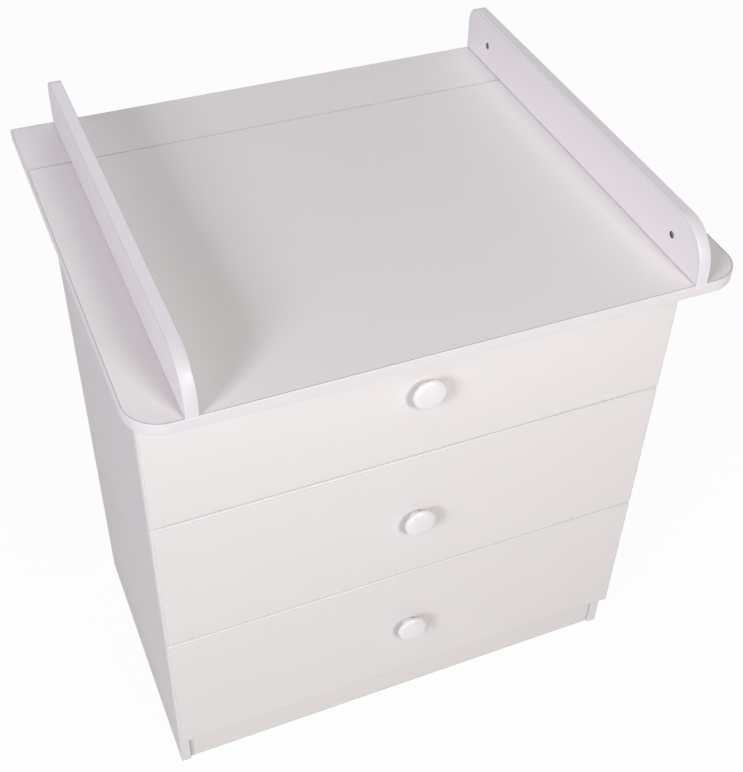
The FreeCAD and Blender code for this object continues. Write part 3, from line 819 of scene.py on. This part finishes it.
@dataclass(frozen=True)
class Screw:
    """A screw or bolt: head, drive and shank, modelled once and copied to its places."""

    head_radius: float
    head_height: float
    shank_radius: float
    length: float
    drive: Drive
    drive_width: float
    drive_depth: float
    point: float = 0.0
    point_share: float = 0.25
    sides: int = 32
    arris: float = 0.3 * MM

    def model(self) -> Piece:
        """Model one screw whose head's outer face is at the origin, running along +Z.

        Returns:
            The screw.
        """
        piece = bar("screw", Vector(), Way.UP, self.head_radius, self.head_height, self.sides)
        bevel(piece, lambda edge: is_rim(edge) and middle(edge).z < HAIR, self.arris, 2)
        select_faces(piece, Way.UP.vector)
        self.draw_ring(self.shank_radius / self.head_radius, 0.0)
        self.draw_ring(1.0, self.length - self.head_height - self.point)
        if self.point:
            self.draw_ring(self.point_share, self.point)
        bpy.ops.object.mode_set(mode="OBJECT")
        for cutter in self.cutters():
            subtract(piece, cutter)
        smooth(piece)
        return piece

    def draw_ring(self, share: float, rise: float) -> None:
        """Extrude the selected cap and resize it.

        Args:
            share: new width over the old one.
            rise: how far it is drawn out.
        """
        bpy.ops.mesh.extrude_region_move(TRANSFORM_OT_translate={"value": (0, 0, rise)})
        bpy.ops.transform.resize(value=(share, share, 1), center_override=(0, 0, 0))

    def cutters(self) -> List[Piece]:
        """Make the volumes that sink the drive into the head.

        Returns:
            The volumes.
        """
        deep = self.drive_depth
        if self.drive is Drive.HEXAGON:
            return [bar("cutter", Vector((0, 0, -OVERCUT)), Way.UP, self.drive_width / 2,
                        deep + OVERCUT, 6)]
        long, thin = self.drive_width / 2, self.drive_width / 9
        return [block("cutter", Vector((-across, -along, -OVERCUT)), Vector((across, along, deep)))
                for across, along in ((long, thin), (thin, long))]

    def place(self, name: str, places: Sequence[Spot], material: Material) -> Piece:
        """Copy the screw to its places.

        Args:
            name: name of the joined copies.
            places: outer face of each head with the way that the screw goes in.
            material: the finish.

        Returns:
            The joined copies.
        """
        master = self.model()
        master.data.materials.append(material)
        copies = []
        for spot, way in places:
            copy = master.copy()
            copy.data = master.data.copy()
            copy.location = spot
            copy.rotation_euler = way.vector.to_track_quat("Z", "Y").to_euler()
            bpy.context.scene.collection.objects.link(copy)
            copies.append(settle(copy))
        bpy.data.objects.remove(master)
        return join(name, copies)


@dataclass(frozen=True)
class Roller:
    """A nylon roller: crowned tread, dished sides and a bore for its pin."""

    radius: float
    width: float = 6.6 * MM
    crown: float = 0.9 * MM
    dish: float = 0.7 * MM
    dish_share: float = 0.74
    bore: float = 2.6 * MM
    sides: int = 56
    bore_sides: int = 32
    crown_steps: int = 3

    def model(self, name: str, centre: Vector) -> Piece:
        """Model one roller that turns about X.

        Args:
            name: the object's name.
            centre: its middle.

        Returns:
            The roller.
        """
        start = centre - Way.RIGHT.vector * self.width / 2
        piece = bar(name, start, Way.RIGHT, self.radius, self.width, self.sides)
        bevel(piece, is_rim, self.crown, self.crown_steps)
        for way in (Way.LEFT, Way.RIGHT):
            select_faces(piece, way.vector)
            bpy.ops.mesh.inset(thickness=(self.radius - self.crown) * (1 - self.dish_share))
            bpy.ops.mesh.extrude_region_move(
                TRANSFORM_OT_translate={"value": -way.vector * self.dish})
            bpy.ops.object.mode_set(mode="OBJECT")
        subtract(piece, bar("cutter", start - Way.RIGHT.vector * OVERCUT, Way.RIGHT, self.bore,
                            self.width + 2 * OVERCUT, self.bore_sides))
        smooth(piece)
        return piece


def seats(spots: Sequence[Point], way: Way, radius: float, screw: Screw) -> List[Bore]:
    """Make the bores that screw heads sink into.

    Args:
        spots: the heads' outer faces.
        way: the way that the screws go in.
        radius: the bores' radius.
        screw: the screw.

    Returns:
        The bores.
    """
    return [Bore(spot, way, radius, screw.head_height) for spot in spots]


# --- sub-assemblies
WOOD_SCREW = Screw(4.0 * MM, 2.6 * MM, 2.0 * MM, 38.0 * MM, Drive.CROSS, 4.6 * MM, 1.6 * MM,
                   3.0 * MM)
FRONT_SCREW = replace(WOOD_SCREW, length=24.0 * MM)
KNOB_SCREW = replace(WOOD_SCREW, length=39.0 * MM, point=0.0)
RAIL_BOLT = Screw(6.0 * MM, 3.5 * MM, 3.0 * MM, 61.0 * MM, Drive.HEXAGON, 4.6 * MM, 2.4 * MM)


@dataclass
class ChangingTop:
    """The changing board, its rear strip and the two guard rails."""

    corner_radius: float = 50 * MM
    guard_front_radius: float = 60 * MM
    guard_rear_radius: float = 28 * MM
    nut_radius: float = 5.0 * MM
    nut_bore: float = 5.1 * MM
    nut_from_end: float = 71 * MM
    nut_height: float = 36 * MM
    nut_recess: float = 2 * MM
    nut_slot: float = 1.1 * MM
    nut_arris: float = 0.4 * MM
    thread_slack: float = 0.1 * MM
    thread_sides: int = 24
    bolt_sink: float = 6.1 * MM
    arris: float = 1.6 * MM
    glue_line: float = 0.8 * MM

    def build(self, palette: Palette) -> None:
        """Build every board of the top and its bolts.

        Args:
            palette: the finishes.
        """
        front, rear = self.bolt_places()
        low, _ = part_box("changing_board")
        board_front = low.y + HAIR
        Board("changing_board", "chest", Way.UP, arris=self.arris,
              bores=seats(front, Way.UP, self.bolt_sink, RAIL_BOLT),
              glue_line=self.glue_line, tight=(Way.BACK,),
              corners=((lambda edge: runs_along(edge, 2) and middle(edge).y < board_front,
                        self.corner_radius),)).build(palette)
        Board("rear_strip", "chest", Way.UP, arris=self.arris, tight=(Way.FRONT,),
              bores=seats(rear, Way.UP, self.bolt_sink, RAIL_BOLT)).build(palette)
        for word in ("left", "right"):
            self.build_guard(word, palette)
        bolts = RAIL_BOLT.place("rail_bolts_turned", [(spot, Way.UP) for spot in front + rear],
                                palette.plated)
        hand_over(bolts, "rail_bolts", "chest")
        self.build_nuts(palette)
        paint(["board_screws"], palette.plated)
        paint(["strip_dowels"], palette.beech)

    def bolt_places(self) -> Tuple[List[Point], List[Point]]:
        """Find the bolt heads' outer faces.

        Returns:
            The front pair and the rear pair, on the underside of the board.
        """
        floor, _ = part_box("changing_board")
        front: List[Point] = []
        rear: List[Point] = []
        for word in ("left", "right"):
            low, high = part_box("guard_rail_" + word)
            for spots, nut in zip((front, rear), self.nut_places(word)):
                spots.append(((low.x + high.x) / 2, nut.y, floor.z))
        return front, rear

    def nut_places(self, word: str) -> List[Vector]:
        """Find where the nut bores open on a guard rail's inner face.

        Args:
            word: left or right.

        Returns:
            The two mouths.
        """
        low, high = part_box("guard_rail_" + word)
        inner = high.x if word == "left" else low.x
        level = low.z + self.nut_height
        return [Vector((inner, low.y + self.nut_from_end, level)),
                Vector((inner, high.y - self.nut_from_end, level))]

    def build_guard(self, word: str, palette: Palette) -> None:
        """Build one guard rail with its rounded ends and nut bores.

        Args:
            word: left or right.
            palette: the finishes.
        """
        node = "guard_rail_" + word
        low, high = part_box(node)
        top, front, rear = high.z - HAIR, low.y + HAIR, high.y - HAIR
        way = Way.LEFT if word == "left" else Way.RIGHT
        depth = high.x - low.x - self.nut_recess
        bores = [Bore(tuple(mouth), way, self.nut_bore, depth) for mouth in self.nut_places(word)]
        # the rails wear the brighter melamine copy: painted light
        Board(node, "chest", Way.RIGHT, arris=self.arris, raw=(Way.DOWN,),
              corners=((lambda edge: runs_along(edge, 0) and middle(edge).z > top
                        and middle(edge).y < front, self.guard_front_radius),
                       (lambda edge: runs_along(edge, 0) and middle(edge).z > top
                        and middle(edge).y > rear, self.guard_rear_radius)),
              bores=bores, facing=palette.guard).build(palette)

    def build_nuts(self, palette: Palette) -> None:
        """Build the four barrel nuts, slotted for turning them in line with the bolts."""
        nuts = []
        for word, way in (("left", Way.LEFT), ("right", Way.RIGHT)):
            low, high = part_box("guard_rail_" + word)
            length = high.x - low.x - 2 * self.nut_recess
            for mouth in self.nut_places(word):
                start = mouth + way.vector * self.nut_recess
                nut = bar("nut", start, way, self.nut_radius, length)
                bevel(nut, is_rim, self.nut_arris, 2)
                past = self.nut_radius + OVERCUT
                thread = start + way.vector * length / 2 - Way.UP.vector * past
                subtract(nut, bar("cutter", thread, Way.UP,
                                  RAIL_BOLT.shank_radius + self.thread_slack, 2 * past,
                                  self.thread_sides))
                reach = Vector((self.nut_slot, self.nut_slot / 2, past))
                subtract(nut, block("cutter", start - reach, start + reach))
                smooth(nut)
                nut.data.materials.append(palette.cast)
                nuts.append(nut)
        hand_over(join("rail_barrel_nuts_turned", nuts), "rail_barrel_nuts", "chest")


@dataclass
class Chest:
    """The fixed body under the top: sides, toe board, rails, back and their fittings."""

    cam_radius: float = 7.6 * MM
    cam_depth: float = 12.7 * MM
    cam_from_end: float = 34 * MM
    cam_height: float = 24 * MM
    toe_glue_line: float = 0.9 * MM
    back_arris: float = 0.4 * MM

    def build(self, palette: Palette) -> None:
        """Build the chest's boards and dress its fittings.

        Args:
            palette: the finishes.
        """
        for word in ("left", "right"):
            # the side panels wear the darker melamine copy: painted shade
            Board("side_panel_" + word, "chest", Way.RIGHT, raw=(Way.UP,),
                  facing=palette.side).build(palette)
        # the toe board wears the darker melamine copy: painted shade
        Board("toe_board", "chest", Way.BACK, arris=FINE_ARRIS,
              glue_line=self.toe_glue_line, facing=palette.toe,
              bores=self.toe_cams()).build(palette)
        paint(["bottom_panel", "top_rail_front", "top_rail_rear"], palette.melamine)
        self.build_back(palette)
        paint(["cam_housings"], palette.cast)
        paint(["cam_bolts"], palette.plated)
        paint(["wooden_dowels"], palette.beech)

    def toe_cams(self) -> List[Bore]:
        """Find the cam pockets in the toe board's rear face.

        Returns:
            The pockets.
        """
        low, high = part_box("toe_board")
        return [Bore((across, high.y, low.z + self.cam_height), Way.FRONT, self.cam_radius,
                     self.cam_depth)
                for across in (low.x + self.cam_from_end, high.x - self.cam_from_end)]

    def build_back(self, palette: Palette) -> None:
        """Build the hardboard back: painted towards the drawers, brown towards the wall."""
        low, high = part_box("back_panel")
        piece = block("back_panel_sheet", low, high)
        bevel(piece, lambda edge: not runs_along(edge, Way.BACK.axis), self.back_arris, 2)
        for material in (palette.hardboard_white, palette.hardboard_brown):
            piece.data.materials.append(material)
        for polygon in piece.data.polygons:
            polygon.material_index = int(polygon.normal.y > -AXIS_ALIGNED)
        smooth(piece)
        hand_over(piece, "back_panel", "chest")


@dataclass
class Knob:
    """A turned mushroom knob on a drawer front."""

    number: int
    sides: int = 96
    neck_radius: float = 11 * MM
    foot: float = 1.0 * MM
    smoothing: float = 50.0
    # distance from the front and radius there, in millimetres
    stations: Tuple[Tuple[float, float], ...] = (
        (3.0, 10.2), (7.0, 9.6), (10.0, 10.2), (11.4, 12.4), (12.0, 16.0), (12.2, 21.5),
        (12.9, 23.6), (14.0, 24.7), (15.4, 25.0), (17.2, 24.9), (18.7, 24.2), (19.9, 22.9),
        (20.8, 20.8), (21.4, 17.5), (21.75, 13.0), (21.95, 7.0), (22.0, 2.0))

    def build(self, palette: Palette) -> None:
        """Shape the knob by drawing a round bar out of the front, step by step.

        Args:
            palette: the finishes.
        """
        node = "drawer_%d_knob" % self.number
        low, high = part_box(node)
        root = Vector(((low.x + high.x) / 2, high.y, (low.z + high.z) / 2))
        piece = bar(node + "_turned", root, Way.FRONT, self.neck_radius, self.foot, self.sides)
        select_faces(piece, Way.FRONT.vector)
        reached, radius = self.foot, self.neck_radius
        for out, wide in self.stations:
            out, wide = out * MM, wide * MM
            bpy.ops.mesh.extrude_region_move(
                TRANSFORM_OT_translate={"value": (0, reached - out, 0)})
            share = wide / radius
            bpy.ops.transform.resize(value=(share, 1, share),
                                     center_override=(root.x, root.y - out, root.z))
            reached, radius = out, wide
        bpy.ops.object.mode_set(mode="OBJECT")
        piece.data.materials.append(palette.lacquer)
        activate(piece)
        bpy.ops.object.shade_smooth_by_angle(angle=math.radians(self.smoothing))
        hand_over(piece, node, "drawer_%d" % self.number)


@dataclass
class Drawer:
    """One drawer: front, knob, box, floor, screws, runners and rollers."""

    number: int
    sink: float = 4.1 * MM
    screw_edge: float = 36 * MM
    front_screw_in: float = 60 * MM
    front_arris: float = 1.9 * MM
    chest_roller: Roller = Roller(11.0 * MM)
    rear_roller: Roller = Roller(10.0 * MM)

    @property
    def body(self) -> str:
        """Name the body that the drawer rides on."""
        return "drawer_%d" % self.number

    def build(self, palette: Palette) -> None:
        """Build the drawer's boards, knob, screws and rollers.

        Args:
            palette: the finishes.
        """
        name = self.body + "_"
        # the fronts' band is the brighter copy: painted light
        Board(name + "front", self.body, Way.FRONT, arris=self.front_arris,
              banding=palette.front_band_painted_light).build(palette)
        Knob(self.number).build(palette)
        box_screws: List[Spot] = []
        for word, way in (("left", Way.RIGHT), ("right", Way.LEFT)):
            spots = self.side_screws(word)
            Board(name + "side_" + word, self.body, Way.RIGHT, arris=FINE_ARRIS,
                  bores=seats(spots, way, self.sink, WOOD_SCREW)).build(palette)
            box_screws += [(spot, way) for spot in spots]
        front_screws, knob_screw = self.inner_screws()
        Board(name + "inner_front", self.body, Way.BACK, arris=FINE_ARRIS,
              bores=seats(front_screws + [knob_screw], Way.FRONT, self.sink,
                          FRONT_SCREW)).build(palette)
        Board(name + "back", self.body, Way.BACK, arris=FINE_ARRIS).build(palette)
        paint([name + "floor"], palette.hardboard_white)
        for screw, part, places in (
                (WOOD_SCREW, "box_screws", box_screws),
                (FRONT_SCREW, "front_screws", [(spot, Way.FRONT) for spot in front_screws]),
                (KNOB_SCREW, "knob_screw", [(knob_screw, Way.FRONT)])):
            piece = screw.place(name + part + "_turned", places, palette.plated)
            hand_over(piece, name + part, self.body)
        paint([name + part for part in ("runners", "chest_runners")], palette.powder)
        self.build_rollers("chest_rollers", self.chest_roller, palette)
        self.build_rollers("rear_rollers", self.rear_roller, palette)

    def side_screws(self, word: str) -> List[Point]:
        """Find the screw heads on the outer face of a box side.

        Args:
            word: left or right.

        Returns:
            The heads' outer faces.
        """
        low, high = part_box("%s_side_%s" % (self.body, word))
        outer = low.x if word == "left" else high.x
        half_wall = (high.x - low.x) / 2
        return [(outer, along, level)
                for along in (low.y + half_wall, high.y - half_wall)
                for level in (low.z + self.screw_edge, high.z - self.screw_edge)]

    def inner_screws(self) -> Tuple[List[Point], Point]:
        """Find the screw heads on the inner front.

        Returns:
            The four that hold the front, and the knob's.
        """
        low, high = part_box(self.body + "_inner_front")
        knob_low, knob_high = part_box(self.body + "_knob")
        front = [(across, high.y, level)
                 for across in (low.x + self.front_screw_in, high.x - self.front_screw_in)
                 for level in (low.z + self.screw_edge, high.z - self.screw_edge)]
        return front, (0.0, high.y, (knob_low.z + knob_high.z) / 2)

    def build_rollers(self, part: str, roller: Roller, palette: Palette) -> None:
        """Build the left and right rollers of one axis.

        Args:
            part: the solid's name after the drawer's.
            roller: the roller's shape.
            palette: the finishes.
        """
        node = "%s_%s" % (self.body, part)
        low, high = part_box(node)
        half = roller.width / 2
        centre = (low + high) / 2
        pair = [roller.model(node + "_moulded", Vector((across, centre.y, centre.z)))
                for across in (low.x + half, high.x - half)]
        piece = join(node + "_moulded", pair)
        piece.data.materials.append(palette.nylon)
        hand_over(piece, node, node)


# --- studio
@dataclass(frozen=True)
class Lamp:
    """A soft square lamp, hung at an angle round the object and above the level."""

    name: str
    round_from_front: float
    above_level: float
    distance: float
    size: float
    watts: float
    colour: Colour

    def hang(self, aim: Vector) -> None:
        """Add the lamp and point it at the object.

        Args:
            aim: the point that it lights.
        """
        turn, rise = math.radians(self.round_from_front), math.radians(self.above_level)
        away = Vector((-math.cos(rise) * math.sin(turn), -math.cos(rise) * math.cos(turn),
                       math.sin(rise)))
        data = bpy.data.lights.new(self.name, "AREA")
        data.size = self.size
        data.energy = self.watts
        data.color = self.colour
        lamp = bpy.data.objects.new(self.name, data)
        lamp.location = aim + away * self.distance
        lamp.rotation_euler = (-away).to_track_quat("-Z", "Y").to_euler()
        bpy.context.scene.collection.objects.link(lamp)


@dataclass
class Studio:
    """Floor, lamps, surroundings and the camera at the photograph's angle."""

    camera_place: Point = (-0.5815, -1.3862, 1.9152)
    camera_turn: Point = (46.400, -1.706, -22.991)
    lens: float = 58.903
    sensor: float = 36.0
    shift: Tuple[float, float] = (-0.0160, 0.0270)
    floor_size: float = 12.0
    floor_grey: float = 0.80
    floor_white: float = 0.96
    sky_grey: float = 0.80
    surroundings: Colour = (0.125, 0.085, 0.085)
    aim: Point = (0.0, -0.1, 0.55)
    lamps: Tuple[Lamp, ...] = (
        Lamp("window", 56, 26, 6.0, 1.6, 187.0, (0.92, 0.935, 1.0)),
        Lamp("front_fill", -10, 35, 3.0, 0.8, 42.5, (0.985, 1.0, 0.96)),
        Lamp("back_fill", 180, 50, 3.0, 2.0, 27.5, (0.87, 0.94, 1.0)),
    )

    def build(self) -> None:
        """Build the whole studio."""
        self.build_floor()
        self.build_world()
        for lamp in self.lamps:
            lamp.hang(Vector(self.aim))
        self.build_camera()
        bpy.context.scene.view_settings.view_transform = "Standard"

    def split_rays(self, tree: bpy.types.NodeTree, output: str, lit: bpy.types.Node,
                   seen: bpy.types.Node, share: float) -> None:
        """Let what is seen of the background differ from what lights the object.

        Args:
            tree: the nodes of the material or the world.
            output: the type of its output node.
            lit: the shader that lights the object.
            seen: the shader that the camera, a gloss or a glass sees.
            share: how much of it they see.
        """
        rays = tree.nodes.new("ShaderNodeLightPath")
        direct = rays.outputs["Is Camera Ray"]
        for kind in ("Is Glossy Ray", "Is Transmission Ray"):
            either = tree.nodes.new("ShaderNodeMath")
            either.operation = "MAXIMUM"
            tree.links.new(direct, either.inputs[0])
            tree.links.new(rays.outputs[kind], either.inputs[1])
            direct = either.outputs[0]
        part = tree.nodes.new("ShaderNodeMath")
        part.operation = "MULTIPLY"
        part.inputs[1].default_value = share
        mix = tree.nodes.new("ShaderNodeMixShader")
        tree.links.new(direct, part.inputs[0])
        tree.links.new(part.outputs[0], mix.inputs["Fac"])
        tree.links.new(lit.outputs[0], mix.inputs[1])
        tree.links.new(seen.outputs[0], mix.inputs[2])
        tree.links.new(mix.outputs[0], tree.nodes.new(output).inputs["Surface"])

    def build_floor(self) -> None:
        """Lay a pale floor that the camera sees as near white, shadow kept."""
        deselect()
        bpy.ops.mesh.primitive_plane_add(size=self.floor_size, location=(0, 0, 0))
        floor = bpy.context.object
        floor.name = "studio_floor"
        bpy.ops.object.mode_set(mode="EDIT")
        bpy.ops.mesh.subdivide(number_cuts=3)
        bpy.ops.object.mode_set(mode="OBJECT")
        material = bpy.data.materials.new("studio_floor")
        material.use_nodes = True
        tree = material.node_tree
        tree.nodes.clear()
        matt = tree.nodes.new("ShaderNodeBsdfDiffuse")
        matt.inputs["Color"].default_value = (*grey(self.floor_grey), 1)
        glow = tree.nodes.new("ShaderNodeEmission")
        glow.inputs["Color"].default_value = (1, 1, 1, 1)
        self.split_rays(tree, "ShaderNodeOutputMaterial", matt, glow, self.floor_white)
        floor.data.materials.append(material)

    def build_world(self) -> None:
        """Light softly from all round, pale grey where the camera or a gloss sees it."""
        world = bpy.data.worlds.new("studio")
        bpy.context.scene.world = world
        world.use_nodes = True
        tree = world.node_tree
        tree.nodes.clear()
        skies = []
        for colour in (self.surroundings, grey(self.sky_grey)):
            sky = tree.nodes.new("ShaderNodeBackground")
            sky.inputs["Color"].default_value = (*colour, 1)
            skies.append(sky)
        self.split_rays(tree, "ShaderNodeOutputWorld", *skies, 1.0)

    def build_camera(self) -> None:
        """Set the camera at the photograph's place."""
        data = bpy.data.cameras.new("camera")
        data.lens = self.lens
        data.sensor_width = self.sensor
        data.shift_x, data.shift_y = self.shift
        camera = bpy.data.objects.new("camera", data)
        camera.location = self.camera_place
        camera.rotation_euler = [math.radians(turn) for turn in self.camera_turn]
        bpy.context.scene.collection.objects.link(camera)
        bpy.context.scene.camera = camera


def main() -> None:
    """Build the dresser and its studio in order."""
    logging.basicConfig(level=logging.INFO, format="%(name)s: %(message)s")
    palette = Palette()
    Studio().build()
    ChangingTop().build(palette)
    Chest().build(palette)
    for number in (1, 2, 3):
        Drawer(number).build(palette)


if __name__ == "__main__":
    main()
